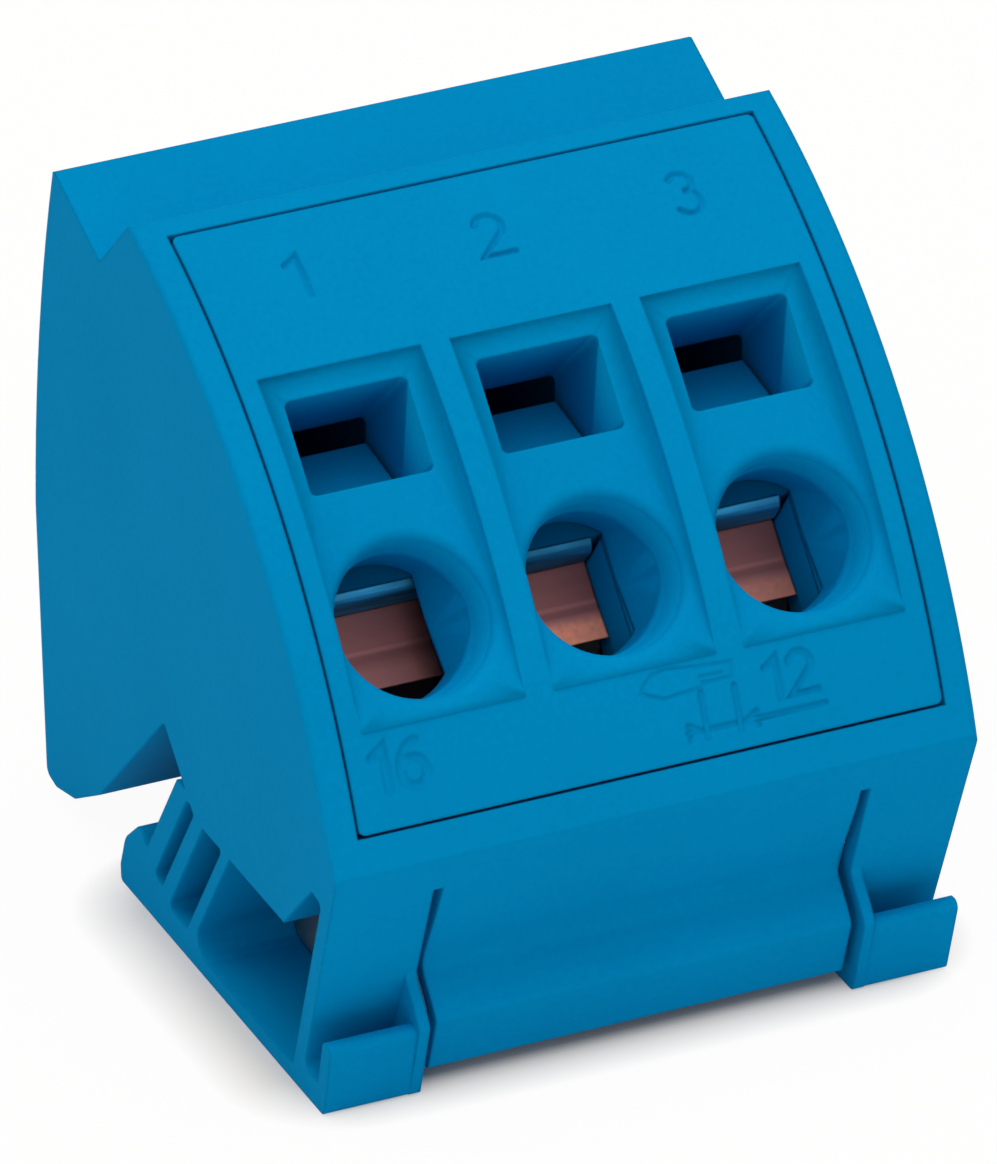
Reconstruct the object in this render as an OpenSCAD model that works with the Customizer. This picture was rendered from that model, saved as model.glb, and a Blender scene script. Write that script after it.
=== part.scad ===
// Three pole terminal block with a bowed front cover and a sprung clip foot.
// Millimetres. X runs along the poles, the front faces -Y, the foot stands on Z = 0.

/* [Poles] */
// distance between neighbouring poles
pole_pitch = 12; // [11.4:0.2:14]
// clear diameter of the round conductor entry
entry_diameter = 9.2; // [8.6:0.1:9.3]
// radius rolled on the rim of the conductor entry
entry_rim = 0.7; // [0.4:0.02:0.8]
// lean of the conductor entry from square to the lane floor
entry_lean = 7; // [5:0.5:9]
// width that the conductor entry narrows to at its inner end
funnel_width = 5.8; // [5.4:0.1:6.4]
// width of the tool slot
slot_width = 7.7; // [7:0.1:8]
// height of the tool slot along the lane floor
slot_height = 5.75; // [5.2:0.05:6]
// web left between the conductor entry and the tool slot
entry_web = 3.55; // [3.4:0.05:3.9]

/* [Cover] */
// thickness of the bowed cover plate
cover_thickness = 2.6; // [2.2:0.1:3]
// depth of the collars behind the lane floors
collar_depth = 6; // [5:0.25:6.2]
// joint left open round the cover
joint_gap = 0.18; // [0.1:0.02:0.3]
// width of the rib left between two lanes
lane_rib = 1.8; // [1.4:0.1:2.4]
// how far the lane floors lie under the bow at the entries
lane_sink = 0.99; // [0.9:0.01:1.15]

/* [Housing] */
// depth from the front knee to the rear face
body_depth = 43.2; // [42:0.2:46]
// radius of the bowed front
bow_radius = 47.8; // [46.5:0.1:50]
// from the axis of an outer pole to the end face
end_margin = 8.35; // [8:0.05:10]
// width of the frame beside the cover
frame_width = 1.8; // [1.4:0.1:2.2]
// thickness of the moulded outer walls
wall = 1.8; // [1.4:0.1:2.1]
// thickness of the walls between the chambers
chamber_wall = 1.4; // [1:0.1:1.6]
// how far each end face draws in towards the base
end_draft = 0.5; // [0:0.1:0.8]
// radius on the outer edges of the bowed frame
edge_round = 0.45; // [0.2:0.05:0.8]

/* [Foot] */
// height of the hollow under the body
foot_height = 10.33; // [9.6:0.1:11]
// width of each release arm and its strutted frame
arm_width = 6.55; // [5.5:0.05:7.5]
// thickness of the front leg of each release arm
leg_thickness = 1.4; // [1.1:0.1:1.8]
// slit between a release arm and the middle skirt
arm_slit = 0.6; // [0.4:0.05:0.9]
// height of the release hooks above the base
hook_height = 5.2; // [4.6:0.1:5.6]
// thickness of the base plates
base_thickness = 1.1; // [0.9:0.1:1.5]
// thickness of the middle skirt
skirt_thickness = 1.3; // [1:0.1:1.6]

/* [Metal] */
// width of the clamps in the second and third poles
metal_width = 4.8; // [4.2:0.1:5]
// width of the clamp in the first pole
first_width = 7.8; // [7.4:0.1:8]
// thickness of the copper strip
bar_thickness = 1.2; // [0.9:0.1:1.4]
// thickness of the spring strip
spring_thickness = 0.7; // [0.5:0.05:0.8]
// outer radius of the spring loop
loop_radius = 4.1; // [3.6:0.1:4.4]

/* [Hidden] */
$fn = 96;
poles = [1:3];
clearance = 0.2;
seat_gap = 0.02;
overlap = 0.2;

// widths along X
block_width = 2 * (pole_pitch + end_margin);
recess_width = block_width - 2 * frame_width;
cover_width = recess_width - 2 * joint_gap;
chamber_width = pole_pitch - chamber_wall;
collar_width = chamber_width - 2 * clearance;
lane_width = pole_pitch - lane_rib;
arm_inner = block_width / 2 - arm_width;
skirt_width = 2 * (arm_inner - arm_slit);

// bowed front, its angles counted up from the front
front = -body_depth / 2;
rear = body_depth / 2;
knee_z = 17.05;
bow_z = 0.65;
bow_knee = knee_z - bow_z;
bow_centre = [front + sqrt(bow_radius * bow_radius - bow_knee * bow_knee), bow_z];
cover_low = 22.95;
cover_high = 68.2;
joint_angle = joint_gap / bow_radius * 180 / PI;
sill_angle = 2;
ridge_angle = cover_high + 1.85;

// lanes, in depth behind the lane floor and rise above the entry axis
lane_slope = 46;
entry_angle = 36.86;
entry_yz = bow(entry_angle, bow_radius - lane_sink);
slot_low = entry_diameter / 2 + entry_web;
slot_top = slot_low + slot_height;
lane_top = slot_top + 1.5;
collar_low = -entry_diameter / 2 - 1.3;
collar_top = slot_top + 1.05;
flank_low = slot_low + 0.5;
flank_rise = slot_top - 1.25;
flank_depth = collar_depth + 3.3;
funnel_start = 2;
rim_ledge = 0.06;
funnel_ledge = 0.15;
funnel_taper = 0.3;
corner_radius = 0.4;
slot_round = 0.4;

// upper side outline: marker groove and wing behind the ridge, notches under the body
ridge = bow(ridge_angle, bow_radius);
ridge_tangent = [-sin(ridge_angle), -cos(ridge_angle)];
groove = ridge + [4.43, -4.56];
wing_slope = 22.7;
wing_tip = groove + 7 * [cos(wing_slope), sin(wing_slope)];
rear_bow_z = 18;
rear_bow_radius = 98;
wall_lean = tan(20);
slit_top = foot_height + 4.37;
front_notch = [front + 3.6, slit_top];
floor_front = [front + 7.8, foot_height];
rear_notch = [rear - 18.5, foot_height + 4.39];
chamber_floor = foot_height + wall;

// foot: struts as front face and thickness at half height, both counted from the rear face
struts = [[-24, 1.1], [-20.15, 1.45], [-17.4, 1.85]];
strut_mid = 5;
strut_lean = 0.68;
base_front = front + 2.85;
base_rear = rear - 10.98;
pocket_floor = base_thickness + 0.8;
hook_front = front + 1.55;
hook_thickness = 1.15;
rib_thickness = 0.7;
skirt_back = 0.5;
skirt_bottom = 1.35;

// guide wedge behind each tool slot
guide_front = collar_depth + 0.25;
guide_rear = guide_front + 2.75;
guide_low = slot_low - 4.4;
guide_shoulder = slot_low + clearance;
guide_top = slot_top - 1.5;
guide_width = slot_width - 0.7;

// clamp spring: strip under the guide, folded lip on the copper, loop
strip_top = guide_low - 0.05;
strip_low = strip_top - spring_thickness;
lip_front = guide_front + 0.15;
lip_depth = lip_front + 1.9;
lip_low = strip_low - 0.2;
loop_depth = lip_front + 7.6;
loop_rise = strip_low + loop_radius;
hook_end = guide_low + 0.9;

// copper comb
bar_front = lip_depth + 0.2;
bar_top = strip_low - 0.1;
bar_crease = lane(bar_front, bar_top - 2.65);
bar_heel = lane(bar_front - 0.2, bar_top - 4.8);
bar_step = bar_heel + [1.3, -0.5];
bar_height = 5;
bar_left = pole_pitch + first_width / 2 + 0.2;
bar_right = pole_pitch + metal_width / 2 + 0.2;

// cheeks beside the clamps of the second and third poles
cheek_gap = 0.1;
cheek_front = collar_depth + 0.06;
cheek_top = guide_low - 0.2;
cheek_rear = bar_front + 1.8;
cheek_drop = 0.8;

function bow(angle, radius) = bow_centre + radius * [-cos(angle), sin(angle)];
function lane(depth, rise) = entry_yz + rise * [cos(lane_slope), sin(lane_slope)]
    + depth * [sin(lane_slope), -cos(lane_slope)];
function clamp_width(i) = i == 1 ? first_width : metal_width;
function wall_y(z) = front + (knee_z - z) * wall_lean;
function strut_front(i, z) = rear + struts[i][0] - strut_lean * (z - strut_mid);
function strut_rear(i, z) = strut_front(i, z) + struts[i][1];
function unit(v) = v / norm(v);
function flat(q) = [q[0], q[1]];
function before(pts, i) = flat(pts[i == 0 ? len(pts) - 1 : i - 1]);
function after(pts, i) = flat(pts[i == len(pts) - 1 ? 0 : i + 1]);

// corner p between a and b, rounded by radius r in n steps
function corner(p, a, b, r, n) =
    let (u = unit(a - p), v = unit(b - p), half = acos(u * v) / 2, mid = p + unit(u + v) * r / sin(half),
         from = p + u * r / tan(half) - mid, to = p + v * r / tan(half) - mid,
         start = atan2(from[1], from[0]), turn = atan2(to[1], to[0]) - start,
         sweep = turn > 180 ? turn - 360 : turn < -180 ? turn + 360 : turn)
    [for (i = [0:n]) mid + r * [cos(start + sweep * i / n), sin(start + sweep * i / n)]];

// outline of [first, second, radius] points with its corners rounded
function rounded(pts, n = 4) =
    [for (i = [0:len(pts) - 1])
        each (pts[i][2] > 0 ? corner(flat(pts[i]), before(pts, i), after(pts, i), pts[i][2], n)
            : [flat(pts[i])])];

// inward unit normal of the edge from a to b on an outline that runs anticlockwise
function inward(a, b) = let (d = unit(b - a)) [-d[1], d[0]];

// outline moved in by one wall thickness
function inset(pts, thickness) =
    [for (i = [0:len(pts) - 1])
        let (p = flat(pts[i]), m = inward(before(pts, i), p), n = inward(p, after(pts, i)))
        p + thickness * (m + n) / (1 + m * n)];

// corners of the upper housing, its bows left out
body_points = [
    [groove[0], groove[1], 0.35],
    [ridge[0], ridge[1], 0.6],
    [ridge[0] + 2 * ridge_tangent[0], ridge[1] + 2 * ridge_tangent[1], 0],
    [ridge[0] - 3, ridge[1] + 3, 0],
    [front, ridge[1] + 3, 0],
    [front, knee_z, 4],
    [wall_y(slit_top), slit_top, 0],
    [front_notch[0], front_notch[1], 0],
    [floor_front[0], floor_front[1], 0.3],
    [rear - 22.65, foot_height, 0],
    [rear_notch[0], rear_notch[1], 0.3],
    [rear - 8.22, 4.31, 0.3],
    [rear - 4.28, 1.93, 1.2],
    [rear - 1.4, 1.23, 0.8],
    [rear, 1.5, 0.6],
    [rear, wing_tip[1] - 1.2, 0],
    [wing_tip[0], wing_tip[1], 0]];

// a side outline in Y and Z drawn out along X
module along_x(width) {
    rotate([90, 0, 90]) linear_extrude(height = width, center = true) children();
}

// one copy at each pole
module at_poles() {
    for (i = poles) translate([(i - 2) * pole_pitch, 0, 0]) children();
}

// frame of the middle pole: X across, Y up the lane, Z out of the entry
module on_lane() {
    translate([0, entry_yz[0], entry_yz[1]]) rotate([lane_slope, 0, 0]) children();
}

// sector of the side view between two angles of the bow
module bow_sector(low, high) {
    reach = bow_radius * 1.4;
    polygon([bow_centre, bow(low, reach), bow((low + high) / 2, reach), bow(high, reach)]);
}

// band of the bow between two angles and two radii
module bow_band(low, high, inner, outer) {
    intersection() {
        translate(bow_centre) difference() {
            circle(r = outer, $fn = 240);
            circle(r = inner, $fn = 240);
        }
        bow_sector(low, high);
    }
}

// turned blank of the bowed front with rounded outer edges
module bow_blank() {
    half = block_width / 2;
    translate([0, bow_centre[0], bow_centre[1]]) rotate([0, 90, 0]) rotate_extrude($fn = 240)
        polygon(rounded([
            [0, -half, 0], [bow_radius, -half, edge_round], [bow_radius, half, edge_round], [0, half, 0]]));
}

// everything in front of the rear face, set in by an inset
module before_rear(inset_by) {
    translate([rear - rear_bow_radius, rear_bow_z]) circle(r = rear_bow_radius - inset_by, $fn = 360);
    translate([rear - 2 * rear_bow_radius, rear_bow_z - rear_bow_radius])
        square([2 * rear_bow_radius - inset_by, rear_bow_radius]);
}

// side outline of one chamber, open to the front behind the cover
module chamber_outline() {
    intersection() {
        polygon(inset(body_points, wall));
        before_rear(wall);
        union() {
            translate(bow_centre) circle(r = bow_radius - cover_thickness - wall, $fn = 240);
            bow_sector(cover_low + sill_angle, cover_high - sill_angle);
        }
    }
}

// upper body with its chambers
module body_shell() {
    difference() {
        intersection() {
            along_x(block_width) intersection() {
                polygon(rounded(body_points));
                before_rear(0);
            }
            bow_blank();
        }
        along_x(recess_width) bow_band(cover_low - joint_angle, cover_high + joint_angle,
            bow_radius - cover_thickness - seat_gap, bow_radius + cover_thickness);
        at_poles() along_x(chamber_width) chamber_outline();
        translate([-bar_left - clearance, floor_front[0] + wall, chamber_floor])
            cube([bar_left + bar_right + 2 * clearance,
                bar_step[0] + bar_thickness + clearance - floor_front[0] - wall, bar_height + clearance]);
    }
}

// guide wedge between the tool slot and the conductor space of one pole
module tool_guide() {
    on_lane() {
        along_x(chamber_width + overlap)
            polygon([[guide_low, -guide_front], [guide_shoulder, -guide_front], [guide_shoulder, -guide_rear],
                [guide_low, -guide_rear]]);
        along_x(guide_width)
            polygon([[guide_shoulder - overlap, -guide_front], [guide_shoulder, 1 - collar_depth],
                [guide_top, 0.8 - guide_rear], [guide_top, -guide_rear], [guide_shoulder - overlap, -guide_rear]]);
    }
}

// pair of cheeks that lead a conductor onto the narrower clamps
module cheeks() {
    inner = metal_width / 2 + cheek_gap;
    outer = (chamber_width + overlap) / 2;
    on_lane() intersection() {
        along_x(2 * outer) polygon([[collar_low, -cheek_rear], [cheek_top - cheek_drop, -cheek_rear],
            [cheek_top - cheek_drop, -bar_front], [cheek_top, -cheek_front], [collar_low, -cheek_front]]);
        rotate([90, 0, 0]) linear_extrude(height = 4 * entry_diameter, center = true) for (side = [-1, 1])
            polygon([
                [side * funnel_width / 2, -cheek_front], [side * inner, -bar_front], [side * inner, -cheek_rear],
                [side * outer, -cheek_rear], [side * outer, -cheek_front]]);
    }
}

// rounded opening between two neighbouring struts
module strut_gap(i, low, high) {
    polygon(rounded([
        [strut_rear(i, high), high, 0.4], [strut_rear(i, low), low, 0.4],
        [strut_front(i + 1, low), low, 0.4], [strut_front(i + 1, high), high, 0.4]]));
}

// side outline of the strutted frame under each end, with the arm and the release hook
module frame_outline() {
    last = len(struts) - 1;
    root = slit_top + overlap;
    floor_root = chamber_floor - 0.4;
    difference() {
        polygon(rounded([
            [wall_y(slit_top) + overlap, root, 0], [wall_y(slit_top), slit_top, 0],
            [wall_y(pocket_floor), pocket_floor, 0.5],
            [base_front + 0.75, pocket_floor, 0.4], [hook_front + hook_thickness, hook_height - 0.1, 0.3],
            [hook_front, hook_height, 0.45], [base_front, 0, 0.5], [base_rear, 0, 0.3],
            [base_rear, 1.1, 0.5], [base_rear - 0.9, 3.4, 2.4], [base_rear - 3.26, 5.5, 0.4],
            [strut_rear(last, 4.3), 4.3, 0.3], [strut_rear(last, floor_root), floor_root, 0],
            [floor_front[0] + 0.6, floor_root, 0], [front_notch[0], root, 0]]));
        strut_gap(1, 3, foot_height + 0.7);
        strut_gap(0, 2, foot_height + 0.2);
        polygon(rounded([
            [strut_front(0, foot_height), foot_height, 0], [strut_front(0, base_thickness), base_thickness, 1.2],
            [wall_y(base_thickness) + leg_thickness, base_thickness, 0.5],
            [wall_y(slit_top) + leg_thickness, slit_top - 0.2, 0.4], [front_notch[0], front_notch[1], 0],
            [floor_front[0], floor_front[1], 0]]));
    }
}

// front line from the body down over the waist and the bead to the hem
function skirt_line(back, bottom) = [
    [wall_y(slit_top) + overlap, slit_top + overlap, 0],
    [wall_y(slit_top), slit_top, 0],
    [wall_y(slit_top - 1.1), slit_top - 1.1, back > 0 ? 20 : 0],
    [front + 3.05 + back, hook_height + 3.7, 2],
    [front + 3.4 + back, hook_height + 2.55, 1],
    [front + 2 + back, hook_height + 0.95, 1],
    [front + 1.35 + back, hook_height + 0.05, 0.5],
    [base_front + back / 2, bottom, 0.3]];

// skirt between the arms
module skirt_outline() {
    line = skirt_line(skirt_back, skirt_bottom);
    polygon(rounded(concat(line, [for (i = [len(line) - 1:-1:0]) line[i] + [skirt_thickness, 0, 0]])));
}

// rib that closes the hook pocket beside the slit
module slit_rib_outline() {
    polygon(rounded(concat(skirt_line(0, 0), [
        [wall_y(base_thickness) + leg_thickness / 2, base_thickness / 2, 0],
        [wall_y(slit_top) + leg_thickness, slit_top + overlap, 0]])));
}

// front view of the block, drawn in towards the base
module end_draft_outline() {
    half = block_width / 2;
    full_z = knee_z + 3;
    polygon([[end_draft - half, 0], [half - end_draft, 0], [half, full_z], [half, body_depth + full_z],
        [-half, body_depth + full_z], [-half, full_z]]);
}

module housing() {
    color([0.0, 0.45, 0.68]) intersection() {
        union() {
            body_shell();
            at_poles() tool_guide();
            for (x = [0, pole_pitch]) translate([x, 0, 0]) cheeks();
            for (end = [-1, 1]) {
                translate([end * (block_width - arm_width) / 2, 0, 0]) along_x(arm_width) frame_outline();
                translate([end * (arm_inner + rib_thickness / 2), 0, 0]) along_x(rib_thickness) slit_rib_outline();
            }
            along_x(skirt_width) skirt_outline();
        }
        rotate([90, 0, 0]) linear_extrude(height = 2 * body_depth, center = true) end_draft_outline();
    }
}

// conductor entry: rolled rim, then a leaning bore whose sides close in towards the clamp
module entry_hole() {
    r = entry_diameter / 2;
    inner = r - funnel_ledge;
    throat = funnel_width / 2;
    mouth = r / cos(entry_lean) + rim_ledge;
    intersection() {
        rotate_extrude() polygon(concat(
            [[0, -entry_rim]],
            [for (a = [0:15:90]) [mouth + entry_rim * (1 - cos(a)), entry_rim * (sin(a) - 1)]],
            [[mouth + entry_rim, 1], [0, 1]]));
        cube([lane_width, 2 * entry_diameter, 4], center = true);
    }
    translate([0, 0, -entry_rim]) rotate([entry_lean, 0, 0]) {
        translate([0, 0, -funnel_start]) cylinder(r = r, h = funnel_start + entry_rim);
        intersection() {
            translate([0, 0, -collar_depth - 2]) cylinder(r1 = inner - funnel_taper, r2 = inner, h = collar_depth + 2);
            rotate([90, 0, 0]) linear_extrude(height = 2 * entry_diameter, center = true)
                polygon([[-inner, 1], [-inner, -funnel_start], [-throat, entry_rim - collar_depth],
                    [-throat, -collar_depth - 3], [throat, -collar_depth - 3], [throat, entry_rim - collar_depth],
                    [inner, -funnel_start], [inner, 1]]);
        }
    }
}

// side outline of a collar, deeper beside the tool slot
module collar_outline() {
    polygon([[collar_low, 0], [collar_low, -collar_depth], [flank_low, -collar_depth], [flank_rise, -flank_depth],
        [collar_top, collar_top - flank_rise - flank_depth], [collar_top, 0]]);
}

// what the rounded corners of the cover plate leave out, cut square to the bow
module cover_corners() {
    for (angle = [cover_low, cover_high], side = [-1, 1]) {
        place = bow(angle, bow_radius);
        inner = corner_radius * [-side, angle == cover_low ? 1 : -1];
        translate([side * cover_width / 2, place[0], place[1]]) rotate([90 - angle, 0, 0])
            linear_extrude(height = 4 * cover_thickness, center = true) difference() {
                translate(0.4 * inner) square(1.2 * corner_radius, center = true);
                translate(inner) circle(r = corner_radius);
            }
    }
}

// tool slot on the lane floor
module slot_outline() {
    half = slot_width / 2;
    polygon(rounded([[-half, slot_low, slot_round], [half, slot_low, slot_round], [half, slot_top, slot_round],
        [-half, slot_top, slot_round]]));
}

module front_cover() {
    color([0.05, 0.53, 0.75]) difference() {
        union() {
            along_x(cover_width) bow_band(cover_low, cover_high, bow_radius - cover_thickness, bow_radius);
            at_poles() on_lane() along_x(collar_width) collar_outline();
        }
        cover_corners();
        at_poles() on_lane() {
            translate([-lane_width / 2, -lane_top, 0]) cube([lane_width, 2 * lane_top, collar_depth]);
            entry_hole();
            translate([0, 0, -2 * collar_depth]) linear_extrude(height = 2 * collar_depth + 1) slot_outline();
        }
    }
}

// side outline of a copper tongue with its creases
module tongue_outline() {
    back = [bar_thickness, 0];
    foot = [bar_step[0], chamber_floor];
    tip = lane(bar_front, bar_top);
    polygon([
        tip, bar_crease, bar_heel, bar_step, foot,
        foot + back, bar_step + back, bar_heel + back, bar_crease + back, lane(bar_front + bar_thickness, bar_top)]);
}

module current_bar() {
    color([0.62, 0.33, 0.25]) {
        for (i = poles) translate([(i - 2) * pole_pitch, 0, 0]) along_x(clamp_width(i)) tongue_outline();
        translate([-bar_left, bar_step[0], chamber_floor]) cube([bar_left + bar_right, bar_thickness, bar_height]);
    }
}

// side outline of a clamp spring on its lane, rise along the first axis and minus the depth along the second
module spring_outline() {
    loop_top = loop_rise + loop_radius;
    polygon(rounded([
        [strip_low + 0.05, -lip_front - 0.25, 0.9], [lip_low, -lip_depth, 0.1], [strip_low, -lip_depth - 0.15, 0],
        [strip_low, -loop_depth, 0], [strip_top, -loop_depth, 0], [strip_top, -lip_front, 0]]));
    translate([loop_rise, -loop_depth]) difference() {
        circle(r = loop_radius);
        circle(r = loop_radius - spring_thickness);
        translate([-2 * loop_radius, 0]) square(4 * loop_radius);
    }
    translate([loop_top - spring_thickness, -loop_depth])
        square([spring_thickness, loop_depth - guide_rear - seat_gap]);
    translate([hook_end, -guide_rear - seat_gap - spring_thickness])
        square([loop_top - hook_end, spring_thickness]);
}

module clamp_spring(i) {
    color([0.72, 0.74, 0.77]) translate([(i - 2) * pole_pitch, 0, 0])
        on_lane() along_x(clamp_width(i)) spring_outline();
}

module clamp_spring_1() {
    clamp_spring(1);
}

module clamp_spring_2() {
    clamp_spring(2);
}

module clamp_spring_3() {
    clamp_spring(3);
}

housing();
front_cover();
current_bar();
clamp_spring_1();
clamp_spring_2();
clamp_spring_3();
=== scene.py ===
import math

import bmesh
import bpy
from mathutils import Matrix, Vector


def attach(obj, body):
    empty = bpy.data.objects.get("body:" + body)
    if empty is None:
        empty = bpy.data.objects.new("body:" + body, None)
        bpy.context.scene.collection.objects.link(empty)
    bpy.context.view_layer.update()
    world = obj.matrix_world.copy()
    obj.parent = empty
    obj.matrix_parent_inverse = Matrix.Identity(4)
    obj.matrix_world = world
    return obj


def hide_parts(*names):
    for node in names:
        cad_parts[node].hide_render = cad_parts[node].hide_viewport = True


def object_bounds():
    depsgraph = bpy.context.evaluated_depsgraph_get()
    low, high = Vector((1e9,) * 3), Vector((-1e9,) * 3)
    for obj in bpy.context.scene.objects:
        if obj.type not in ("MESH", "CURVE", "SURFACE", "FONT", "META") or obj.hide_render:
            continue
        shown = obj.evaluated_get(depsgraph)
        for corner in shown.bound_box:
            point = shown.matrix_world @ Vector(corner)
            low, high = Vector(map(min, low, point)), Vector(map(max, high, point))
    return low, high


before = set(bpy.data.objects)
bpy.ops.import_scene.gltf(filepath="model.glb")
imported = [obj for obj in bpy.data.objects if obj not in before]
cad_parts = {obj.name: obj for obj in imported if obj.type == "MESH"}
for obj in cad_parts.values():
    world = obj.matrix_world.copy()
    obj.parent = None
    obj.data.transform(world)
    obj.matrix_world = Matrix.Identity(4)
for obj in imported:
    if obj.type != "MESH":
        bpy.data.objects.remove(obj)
cad_low, cad_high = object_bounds()

# Camera of the photograph, in metres and degrees
CAMERA_PLACE = (-0.33402, -0.73126, 0.47666)
CAMERA_TURN = (60.452, 0.0, -24.531)
CAMERA_LENS = 491.6
CAMERA_REACH = 20.0
SENSOR_SIZE = 36.0

# Colours, linear
BLUE = (0.0, 0.255, 0.535)
# Copper: its dull tone, and the tint of the painted reflection below its crease
COPPER_DULL = (0.31, 0.125, 0.12)
COPPER_REFLECTION_TINT = (1.0, 0.37, 0.23)
# Steel: tinted blue as a painted reflection of the blue plastic around it
STEEL = (0.05, 0.36, 0.58)
FLOOR = (0.93, 0.93, 0.93)
FLOOR_SEEN = (0.99, 0.91, 0.83)
FLOOR_GLOW = 0.95

# Floor, in metres: its side, and how far it lies under the block
FLOOR_SIDE = 6.0
FLOOR_DROP = 0.00002

# Floor that the block covers, in metres: middle and half size on each axis, corner radius, fade at the edge
COVERED = {"X": (-0.0005, 0.021), "Y": (-0.0038, 0.0144)}
COVERED_ROUND = 0.005
COVERED_FADE = (-0.0012, 0.003)

# Plastic: cloudiness and speckles as noise scale and detail, and the darkest and lightest of their tones
CLOUD_NOISE = (70.0, 3.0)
SPECKLE_NOISE = (2600.0, 2.0)
TONE_LEVELS = (0.3, 0.7)
TONE_SHADES = (0.94, 1.06)

# Plastic: range and noise scale of its roughness, its faint sheen, and the rounding of its edges in metres
SATIN_ROUGHNESS = (0.5, 0.62)
SATIN_NOISE = 900.0
SATIN_SHEEN = 0.004
PLASTIC_EDGE = 0.0003

# Plastic: moulded grain as noise scale and detail, and as strength and depth in metres
GRAIN_NOISE = (3800.0, 3.0)
GRAIN_DEPTH = (0.5, 0.00002)

# Painted shade in the narrow gap behind the collars of the cover, in metres: inward direction, its offset, and
# depths of the gap
GAP_INWARD = (0.0, 0.71934, -0.69466)
GAP_OFFSET = 0.030139
GAP_DEPTH = (0.00595, 0.0062, 0.0064)

# Reach of that gap, in metres: direction along the lanes, middle and half of the entries on it, half of the row
GAP_ALONG = (0.0, 0.69466, 0.71934)
GAP_REACH = (0.0108, 0.006)
GAP_ROW = 0.0175

# Painted shade: how dark the plastic is made in that gap
PAINTED_SHADOW_IN_GAP = 0.5

# Metal: streaks as noise scale and detail, their spread of roughness, strength and depth, and rounded edges
STREAK_NOISE = (900.0, 4.0)
STREAK_ROUGHNESS = 0.1
STREAK_DEPTH = (0.3, 0.00002)
METAL_EDGE = 0.00015

# Metal: roughness, and how short the streaks are along each axis
COPPER_ROUGHNESS = 0.5
COPPER_STRETCH = (0.15, 1.0, 1.0)
STEEL_ROUGHNESS = 0.58
STEEL_STRETCH = (0.12, 1.0, 1.0)

# Steel: levels of the streaks and the shades that they get
STEEL_STOPS = [(0.35, 0.5), (0.55, 1.0), (0.68, 1.6)]

# Copper, in metres: height of its painted highlight line on the crease and half of its width, and end and start
# of the painted reflection below
RIDGE_HIGHLIGHT = 0.02315
RIDGE_HIGHLIGHT_HALF = 0.00013
CREASE = (0.0223, 0.0228)

# Copper, in metres along the row: where the painted reflection begins and where it fades
BRIGHT_FROM = (-0.008, -0.004)
BRIGHT_TO = (0.004, 0.008)

# Copper: strength of the painted reflection below the crease, its share at the first and the last pole, and its
# flecks
PAINTED_REFLECTION = 0.8
PAINTED_REFLECTION_FIRST = 0.15
PAINTED_REFLECTION_LAST = 0.55
FLECK_NOISE = (2500.0, 3.0)
FLECK_SPAN = (0.6, 1.3)

# Copper: level of the painted highlight line and of the streaks, and the shades of the dull part
RIDGE_HIGHLIGHT_LEVEL = 0.12
STREAK_LEVEL = 0.2
DULL_SHADES = (0.7, 1.25)

# Samples that round an edge
EDGE_SAMPLES = 6

# Soft studio sky: an even part, and lobes of direction, narrowness and strength
SKY_EVEN = 0.03
SKY_LOBES = [
    ((0.0, 0.0, 1.0), 1.0, 0.3),
    ((0.0, 0.0, 1.0), 5.0, 2.2),
    ((-0.36, -0.79, 0.3), 3.0, 0.62),
    ((-1.0, 0.0, 0.2), 2.0, 0.1)]

# Millimetres in a metre
MILLI = 1000

# Bow of the front cover in its side view, in millimetres
BOW_CENTRE = (23.3, 0.65)
BOW_RADIUS = 47.8

# Faces of the bow: distance from it in metres, and least agreement with its direction
BOW_NEAR = 2e-5
BOW_ALIKE = 0.999

# Cover: angle in degrees from which an edge is crisp, and distance in millimetres at which points are joined
CRISP_ANGLE = 25
JOIN_DISTANCE = 0.0002

# Grooves, in millimetres: half of the width on the bow and at the bottom, and depth
FINE_GROOVE = (0.22, 0.12, 0.25)
WIDE_GROOVE = (0.34, 0.22, 0.17)
SMALL_GROOVE = (0.26, 0.16, 0.17)
SIGN_GROOVE = (0.22, 0.13, 0.15)
OUTLINE_GROOVE = (0.14, 0.06, 0.09)

# Degrees of one step of an arc, and of the steps that round the end of a stroke
ARC_STEP = 12
END_STEPS = (30, 60, 85)

# Least share of a corner's width that counts, so that sharp corners don't grow long
CORNER_LEAST = 0.5

# Engraved numbers: digit, middle in millimetres, base line in degrees of the bow, height, groove
NUMBERS = [
    ("1", -11.9, 61.15, 2.8, FINE_GROOVE),
    ("2", -0.05, 61.15, 2.8, FINE_GROOVE),
    ("3", 12.2, 61.15, 2.8, FINE_GROOVE),
    ("1", -16.1, 25.6, 2.5, WIDE_GROOVE),
    ("6", -14.4, 25.55, 2.65, WIDE_GROOVE),
    ("1", 8.57, 25.75, 2.4, SMALL_GROOVE),
    ("2", 10.05, 25.85, 2.4, SMALL_GROOVE)]

# Engraved outline of a stripped conductor and its dimension lines: points of x and degrees of the bow
OUTLINE_LINES = [
    [(1.35, 27.5), (3.95, 27.75), (3.95, 28.05), (5.85, 28.02), (5.9, 29.1), (3.95, 29.2), (1.8, 29.55)],
    [(1.8, 29.55), (0.95, 29.35), (0.35, 28.75), (0.1, 28.2), (1.35, 27.5)],
    [(3.85, 28.5), (5.2, 28.45)]]
SIGN_LINES = [
    [(3.7, 24.25), (3.7, 27.4)],
    [(5.8, 24.25), (5.8, 27.4)],
    [(2.5, 24.8), (3.4, 24.8)],
    [(4.0, 24.8), (5.5, 24.8)],
    [(6.1, 24.8), (11.2, 24.8)],
    [(2.6, 25.3), (3.3, 24.8), (2.6, 24.3)],
    [(6.9, 25.3), (6.2, 24.8), (6.9, 24.3)]]


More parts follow.
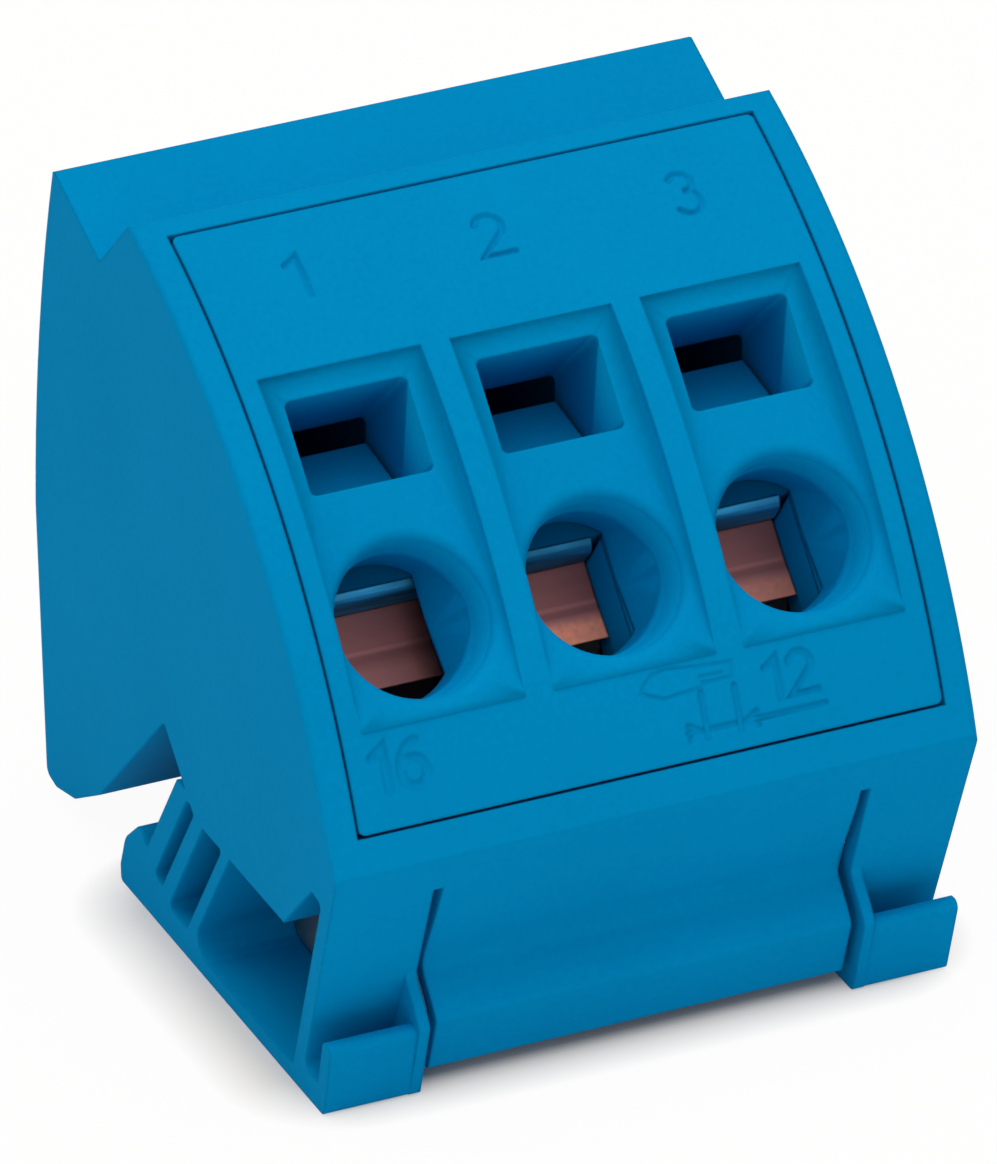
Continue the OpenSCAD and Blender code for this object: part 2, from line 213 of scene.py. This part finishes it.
class Nodes:
    """The node tree of a material or a world, with short calls to add and join nodes."""

    def __init__(self, owner, output_kind="ShaderNodeOutputMaterial"):
        owner.use_nodes = True
        self.tree = owner.node_tree
        self.tree.nodes.clear()
        self.output = self.add(output_kind)

    def show(self, shader):
        """Makes a shader the result of the tree."""
        self.join(shader, self.output.inputs["Surface"])

    def add(self, kind, **settings):
        """A new node with the settings given."""
        node = self.tree.nodes.new(kind)
        for key, value in settings.items():
            setattr(node, key, value)
        return node

    def join(self, source, target):
        """Links an output to an input."""
        self.tree.links.new(source, target)

    def noise(self, scale, detail=2.0, stretch=(1.0, 1.0, 1.0)):
        """Noise fixed to the object."""
        place = self.add("ShaderNodeTexCoord")
        mapping = self.add("ShaderNodeMapping")
        mapping.inputs["Scale"].default_value = stretch
        self.join(place.outputs["Object"], mapping.inputs["Vector"])
        node = self.add("ShaderNodeTexNoise")
        node.inputs["Scale"].default_value = scale
        node.inputs["Detail"].default_value = detail
        self.join(mapping.outputs["Vector"], node.inputs["Vector"])
        return node.outputs["Fac"]

    def ramp(self, source, stops):
        """Colours between stops of level and colour."""
        node = self.add("ShaderNodeValToRGB")
        elements = node.color_ramp.elements
        while len(elements) < len(stops):
            elements.new(0.5)
        for element, (place, colour) in zip(elements, stops):
            element.position = place
            element.color = (*colour, 1.0)
        self.join(source, node.inputs["Fac"])
        return node.outputs["Color"]

    def span(self, source, low, high, start=0.0, end=1.0):
        """A value that goes from low to high while the source goes from start to end."""
        node = self.add("ShaderNodeMapRange")
        node.inputs["From Min"].default_value = start
        node.inputs["From Max"].default_value = end
        node.inputs["To Min"].default_value = low
        node.inputs["To Max"].default_value = high
        self.join(source, node.inputs["Value"])
        return node.outputs["Result"]

    def calc(self, operation, first, second=None):
        """A sum of one output, or of an output with a number or another output."""
        node = self.add("ShaderNodeMath", operation=operation)
        self.join(first, node.inputs[0])
        if isinstance(second, (int, float)):
            node.inputs[1].default_value = second
        elif second is not None:
            self.join(second, node.inputs[1])
        return node.outputs["Value"]

    def largest(self, sockets):
        """The largest of several outputs."""
        result = sockets[0]
        for socket in sockets[1:]:
            result = self.calc("MAXIMUM", result, socket)
        return result

    def measure(self, direction):
        """Place of the shaded point along a direction, in metres."""
        place = self.add("ShaderNodeNewGeometry")
        product = self.add("ShaderNodeVectorMath", operation="DOT_PRODUCT")
        product.inputs[1].default_value = direction
        self.join(place.outputs["Position"], product.inputs[0])
        return product.outputs["Value"]

    def background_rays(self):
        """A factor that is one for the rays that show the background."""
        path = self.add("ShaderNodeLightPath")
        return self.largest([path.outputs[f"Is {kind} Ray"] for kind in ("Camera", "Glossy", "Transmission")])

    def blend(self, factor, first, second):
        """A mix of two shaders."""
        node = self.add("ShaderNodeMixShader")
        self.join(factor, node.inputs["Fac"])
        self.join(first, node.inputs[1])
        self.join(second, node.inputs[2])
        return node.outputs["Shader"]

    def rough_edge(self, radius, height, strength, depth):
        """Direction of a surface with rounded edges and fine bumps."""
        edge = self.add("ShaderNodeBevel", samples=EDGE_SAMPLES)
        edge.inputs["Radius"].default_value = radius
        node = self.add("ShaderNodeBump")
        node.inputs["Strength"].default_value = strength
        node.inputs["Distance"].default_value = depth
        self.join(height, node.inputs["Height"])
        self.join(edge.outputs["Normal"], node.inputs["Normal"])
        return node.outputs["Normal"]


def shade(colour, factor):
    """A colour made lighter or darker."""
    return tuple(part * factor for part in colour)


def painted_shadow_in_gap(nodes):
    """Painted shade: a factor that is one on the faces just behind the collars and zero elsewhere."""
    depth = nodes.calc("ADD", nodes.measure(GAP_INWARD), GAP_OFFSET)
    start, full, end = GAP_DEPTH
    middle, half = GAP_REACH
    from_middle = nodes.calc("ABSOLUTE", nodes.calc("SUBTRACT", nodes.measure(GAP_ALONG), middle))
    along_row = nodes.calc("ABSOLUTE", nodes.measure((1.0, 0.0, 0.0)))
    tests = [
        nodes.calc("GREATER_THAN", depth, start),
        nodes.calc("LESS_THAN", from_middle, half),
        nodes.calc("LESS_THAN", along_row, GAP_ROW)]
    factor = nodes.span(depth, 1.0, 0.0, full, end)
    for test in tests:
        factor = nodes.calc("MULTIPLY", factor, test)
    return factor


def plastic(name, colour, with_painted_shadow_in_gap):
    """Satin moulded plastic with a fine spark-eroded grain and a faint cloudiness, and where asked a painted
    shade on the faces just behind the collars.
    """
    material = bpy.data.materials.new(name)
    nodes = Nodes(material)
    shader = nodes.add("ShaderNodeBsdfPrincipled")
    both = nodes.calc("ADD", nodes.noise(*CLOUD_NOISE), nodes.noise(*SPECKLE_NOISE))
    level = nodes.calc("MULTIPLY", both, 0.5)
    # Painted shade: the faces just behind the collars take the darkest tone of the ramp
    if with_painted_shadow_in_gap:
        level = nodes.calc("SUBTRACT", level, painted_shadow_in_gap(nodes))
    tones = [(0.0, shade(colour, PAINTED_SHADOW_IN_GAP))]
    tones += [(place, shade(colour, factor)) for place, factor in zip(TONE_LEVELS, TONE_SHADES)]
    nodes.join(nodes.ramp(level, tones), shader.inputs["Base Color"])
    nodes.join(nodes.span(nodes.noise(SATIN_NOISE), *SATIN_ROUGHNESS), shader.inputs["Roughness"])
    shader.inputs["Specular IOR Level"].default_value = SATIN_SHEEN
    grain = nodes.rough_edge(PLASTIC_EDGE, nodes.noise(*GRAIN_NOISE), *GRAIN_DEPTH)
    nodes.join(grain, shader.inputs["Normal"])
    nodes.show(shader.outputs["BSDF"])
    return material


def reflected_blue_steel(nodes, streak):
    """Steel tinted blue as a painted reflection of the blue plastic around it, with lighter scratches."""
    return nodes.ramp(streak, [(level, shade(STEEL, factor)) for level, factor in STEEL_STOPS])


def copper_tint(nodes, streak):
    """Dull copper with a painted highlight line on its crease, and a painted reflection that makes it lighter
    below the crease.
    """
    place = nodes.add("ShaderNodeTexCoord")
    parts = nodes.add("ShaderNodeSeparateXYZ")
    nodes.join(place.outputs["Object"], parts.inputs["Vector"])
    # Painted reflection: lighter below the crease, most at the middle pole, with flecks
    below = nodes.span(parts.outputs["Z"], PAINTED_REFLECTION, 0.0, *CREASE)
    along = nodes.span(parts.outputs["X"], PAINTED_REFLECTION_FIRST, 1.0, *BRIGHT_FROM)
    until = nodes.span(parts.outputs["X"], 1.0, PAINTED_REFLECTION_LAST, *BRIGHT_TO)
    painted_reflection = nodes.calc("MULTIPLY", below, nodes.span(nodes.noise(*FLECK_NOISE), *FLECK_SPAN))
    painted_reflection = nodes.calc("MULTIPLY", painted_reflection, nodes.calc("MULTIPLY", along, until))
    # Painted highlight: a thin lighter line along the crease
    off_highlight = nodes.calc("ABSOLUTE", nodes.calc("SUBTRACT", parts.outputs["Z"], RIDGE_HIGHLIGHT))
    level = nodes.calc("ADD", painted_reflection, nodes.span(off_highlight, RIDGE_HIGHLIGHT_LEVEL, 0.0, 0.0, RIDGE_HIGHLIGHT_HALF))
    level = nodes.calc("ADD", level, nodes.span(streak, 0.0, STREAK_LEVEL))
    dark, light = [shade(COPPER_DULL, factor) for factor in DULL_SHADES]
    return nodes.ramp(level, [(0.0, dark), (STREAK_LEVEL, light), (1.0, COPPER_REFLECTION_TINT)])


def metal(name, tint_of, roughness, stretch):
    """Rolled metal strip with streaks along its rolling direction."""
    material = bpy.data.materials.new(name)
    nodes = Nodes(material)
    shader = nodes.add("ShaderNodeBsdfPrincipled")
    shader.inputs["Metallic"].default_value = 1.0
    streak = nodes.noise(*STREAK_NOISE, stretch)
    nodes.join(tint_of(nodes, streak), shader.inputs["Base Color"])
    rough = nodes.span(streak, roughness - STREAK_ROUGHNESS, roughness + STREAK_ROUGHNESS)
    nodes.join(rough, shader.inputs["Roughness"])
    scratch = nodes.rough_edge(METAL_EDGE, streak, *STREAK_DEPTH)
    nodes.join(scratch, shader.inputs["Normal"])
    nodes.show(shader.outputs["BSDF"])
    return material


def outside_cover(nodes):
    """A factor that grows from zero under the block to one on the open floor."""
    place = nodes.add("ShaderNodeNewGeometry")
    parts = nodes.add("ShaderNodeSeparateXYZ")
    nodes.join(place.outputs["Position"], parts.inputs["Vector"])
    squares = []
    for axis, (middle, half) in COVERED.items():
        away = nodes.calc("ABSOLUTE", nodes.calc("SUBTRACT", parts.outputs[axis], middle))
        beyond = nodes.calc("SUBTRACT", away, half - COVERED_ROUND)
        squares.append(nodes.calc("POWER", nodes.calc("MAXIMUM", beyond, 0.0), 2.0))
    distance = nodes.calc("SQRT", nodes.calc("ADD", *squares))
    return nodes.span(distance, 0.0, 1.0, *[COVERED_ROUND + edge for edge in COVERED_FADE])


def matt(nodes, colour):
    """Plain matt shader of one colour."""
    shader = nodes.add("ShaderNodeBsdfDiffuse")
    shader.inputs["Color"].default_value = (*colour, 1.0)
    return shader.outputs["BSDF"]


def floor_paint():
    """Pale matt floor that is seen as a white background with the shadow on it."""
    material = bpy.data.materials.new("floor_paint")
    nodes = Nodes(material)
    white = nodes.add("ShaderNodeEmission")
    glow = nodes.calc("MULTIPLY", outside_cover(nodes), FLOOR_GLOW)
    seen = nodes.blend(glow, matt(nodes, FLOOR_SEEN), white.outputs["Emission"])
    nodes.show(nodes.blend(nodes.background_rays(), matt(nodes, FLOOR), seen))
    return material


def arc(centre, radius, start, end):
    """Points of an arc between two angles in degrees."""
    steps = max(2, round(abs(end - start) / ARC_STEP))
    angles = [math.radians(start + (end - start) * i / steps) for i in range(steps + 1)]
    return [(centre[0] + radius * math.cos(a), centre[1] + radius * math.sin(a)) for a in angles]


def strokes_of(digit):
    """Strokes of the digits one, two, three and six of height one, the middle on the line of zero."""
    if digit == "1":
        return [[(-0.3, 0.8), (0.0, 1.0), (0.0, 0.0)]]
    if digit == "2":
        return [arc((0.0, 0.71), 0.29, 165, -38) + [(-0.34, 0.0), (0.36, 0.0)]]
    if digit == "3":
        return [arc((0.0, 0.75), 0.25, 150, -80), arc((0.0, 0.27), 0.29, 80, -150)]
    return [arc((0.0, 0.3), 0.3, 180, 0), arc((0.0, 0.3), 0.3, 0, -180), arc((0.28, 0.42), 0.58, 190, 105)]


def on_bow(x, along, out):
    """Point at x, a length along the bow and a height over it, in millimetres."""
    angle = along / BOW_RADIUS
    radius = BOW_RADIUS + out
    return (x, BOW_CENTRE[0] - radius * math.cos(angle), BOW_CENTRE[1] + radius * math.sin(angle))


def sections_of(path, half):
    """Left and right side of a stroke with rounded ends."""
    points = [Vector(point) for point in path]
    heads = [(after - before).normalized() for before, after in zip(points, points[1:])]
    turns = [heads[0]] + [(a + b).normalized() for a, b in zip(heads, heads[1:])] + [heads[-1]]
    widths = [half / max(CORNER_LEAST, turn.dot(head)) for turn, head in zip(turns, heads + heads[-1:])]
    rows = list(zip(points, turns, widths))
    angles = [math.radians(step) for step in END_STEPS]
    ends = [(math.sin(angle) * half, math.cos(angle) * half) for angle in angles]
    start = [(points[0] - heads[0] * ahead, heads[0], width) for ahead, width in reversed(ends)]
    stop = [(points[-1] + heads[-1] * ahead, heads[-1], width) for ahead, width in ends]
    sides = []
    for point, turn, width in start + rows + stop:
        left = Vector((-turn.y, turn.x)) * width
        sides.append((point + left, point - left))
    return sides


def groove_mesh(path, groove):
    """Closed cutter of a stroke, wide over the bow and narrow at its bottom."""
    top_half, low_half, depth = groove
    over_half = 2 * top_half - low_half
    top = sections_of(path, over_half)
    low = sections_of(path, low_half)
    cutter = bmesh.new()
    rings = []
    for (top_left, top_right), (low_left, low_right) in zip(top, low):
        corners = [(*top_left, depth), (*low_left, -depth), (*low_right, -depth), (*top_right, depth)]
        rings.append([cutter.verts.new(on_bow(*corner)) for corner in corners])
    for first, second in zip(rings, rings[1:]):
        for i in range(len(first)):
            j = (i + 1) % len(first)
            cutter.faces.new((first[i], first[j], second[j], second[i]))
    cutter.faces.new(rings[0][::-1])
    cutter.faces.new(rings[-1])
    bmesh.ops.triangulate(cutter, faces=cutter.faces[:])
    bmesh.ops.recalc_face_normals(cutter, faces=cutter.faces[:])
    mesh = bpy.data.meshes.new("groove")
    cutter.to_mesh(mesh)
    cutter.free()
    return mesh


def engraved_paths():
    """Strokes of all numbers and of the sign, as x and length along the bow, with their grooves."""
    paths = []
    for digit, middle, base, height, groove in NUMBERS:
        start = math.radians(base) * BOW_RADIUS
        for stroke in strokes_of(digit):
            paths.append(([(middle + u * height, start + v * height) for u, v in stroke], groove))
    for lines, groove in ((SIGN_LINES, SIGN_GROOVE), (OUTLINE_LINES, OUTLINE_GROOVE)):
        for line in lines:
            paths.append(([(x, math.radians(angle) * BOW_RADIUS) for x, angle in line], groove))
    return paths


def smooth_bow(mesh):
    """Shades the bow as a true cylinder and keeps the other edges crisp."""
    mesh.polygons.foreach_set("use_smooth", [True] * len(mesh.polygons))
    mesh.set_sharp_from_angle(angle=math.radians(CRISP_ANGLE))
    normals = [Vector(corner.vector) for corner in mesh.corner_normals]
    for face in mesh.polygons:
        for index in face.loop_indices:
            place = mesh.vertices[mesh.loops[index].vertex_index].co
            across = Vector((0.0, place.y - BOW_CENTRE[0] / MILLI, place.z - BOW_CENTRE[1] / MILLI))
            on_it = abs(across.length - BOW_RADIUS / MILLI) < BOW_NEAR
            if on_it and face.normal.dot(across.normalized()) > BOW_ALIKE:
                normals[index] = across.normalized()
    mesh.normals_split_custom_set(normals)


def blank_cover():
    """A copy of the CAD cover in millimetres, its points joined."""
    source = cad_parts["front_cover"]
    blank = bmesh.new()
    blank.from_mesh(source.data)
    blank.transform(source.matrix_world)
    for vertex in blank.verts:
        vertex.co *= MILLI
    bmesh.ops.remove_doubles(blank, verts=blank.verts[:], dist=JOIN_DISTANCE)
    mesh = bpy.data.meshes.new("engraved_cover")
    blank.to_mesh(mesh)
    blank.free()
    cover = bpy.data.objects.new("engraved_cover", mesh)
    bpy.context.scene.collection.objects.link(cover)
    return cover


def carve(cover):
    """Cuts the grooves into the cover."""
    cutters = []
    for path, groove in engraved_paths():
        cutter = bpy.data.objects.new("groove", groove_mesh(path, groove))
        bpy.context.scene.collection.objects.link(cutter)
        cut = cover.modifiers.new("cut", "BOOLEAN")
        cut.operation = "DIFFERENCE"
        cut.solver = "EXACT"
        cut.object = cutter
        cutters.append(cutter)
    bpy.context.view_layer.update()
    carved = bpy.data.meshes.new_from_object(cover.evaluated_get(bpy.context.evaluated_depsgraph_get()))
    cover.modifiers.clear()
    cover.data = carved
    for cutter in cutters:
        bpy.data.objects.remove(cutter)


def engraved_cover(material):
    """The cover with the numbers and the sign of a stripped conductor cut into its bow."""
    cover = blank_cover()
    carve(cover)
    for vertex in cover.data.vertices:
        vertex.co /= MILLI
    cover.data.update()
    smooth_bow(cover.data)
    cover.data.materials.clear()
    cover.data.materials.append(material)
    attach(cover, "root")
    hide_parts("front_cover")


def paint(node, material):
    """Gives a CAD node one material."""
    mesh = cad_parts[node].data
    mesh.materials.clear()
    mesh.materials.append(material)


def dress_nodes():
    """Gives each piece its material."""
    copper = metal("rolled_copper", copper_tint, COPPER_ROUGHNESS, COPPER_STRETCH)
    steel = metal("rolled_steel", reflected_blue_steel, STEEL_ROUGHNESS, STEEL_STRETCH)
    paint("housing", plastic("housing_blue", BLUE, True))
    engraved_cover(plastic("cover_blue", BLUE, False))
    paint("current_bar", copper)
    for pole in (1, 2, 3):
        paint(f"clamp_spring_{pole}", steel)


def make_floor():
    """The floor just under the block."""
    bpy.ops.mesh.primitive_plane_add(size=FLOOR_SIDE, location=(0.0, 0.0, cad_low.z - FLOOR_DROP))
    floor = bpy.context.object
    floor.name = "studio_floor"
    floor.data.materials.append(floor_paint())


def sky_level(nodes):
    """Brightness of the sky in each direction: an even part and soft lobes."""
    place = nodes.add("ShaderNodeTexCoord")
    even = nodes.add("ShaderNodeValue")
    even.outputs["Value"].default_value = SKY_EVEN
    level = even.outputs["Value"]
    for direction, narrowness, strength in SKY_LOBES:
        towards = nodes.add("ShaderNodeVectorMath", operation="DOT_PRODUCT")
        towards.inputs[1].default_value = Vector(direction).normalized()
        nodes.join(place.outputs["Generated"], towards.inputs[0])
        front = nodes.calc("MAXIMUM", towards.outputs["Value"], 0.0)
        lobe = nodes.calc("MULTIPLY", nodes.calc("POWER", front, narrowness), strength)
        level = nodes.calc("ADD", level, lobe)
    return level


def make_world():
    """Soft sky that lights the block, seen as plain white."""
    world = bpy.data.worlds.new("studio_world")
    nodes = Nodes(world, "ShaderNodeOutputWorld")
    sky = nodes.add("ShaderNodeBackground")
    white = nodes.add("ShaderNodeBackground")
    for background in (sky, white):
        background.inputs["Color"].default_value = (1.0, 1.0, 1.0, 1.0)
    nodes.join(sky_level(nodes), sky.inputs["Strength"])
    nodes.show(nodes.blend(nodes.background_rays(), sky.outputs["Background"], white.outputs["Background"]))
    bpy.context.scene.world = world


def make_camera():
    """The camera of the photograph."""
    data = bpy.data.cameras.new("photo_camera")
    data.lens = CAMERA_LENS
    data.sensor_fit = "VERTICAL"
    data.sensor_height = SENSOR_SIZE
    data.clip_end = CAMERA_REACH
    camera = bpy.data.objects.new("photo_camera", data)
    camera.location = CAMERA_PLACE
    camera.rotation_euler = [math.radians(angle) for angle in CAMERA_TURN]
    bpy.context.scene.collection.objects.link(camera)
    bpy.context.scene.camera = camera


dress_nodes()
make_floor()
make_world()
make_camera()
bpy.context.scene.view_settings.view_transform = "Standard"
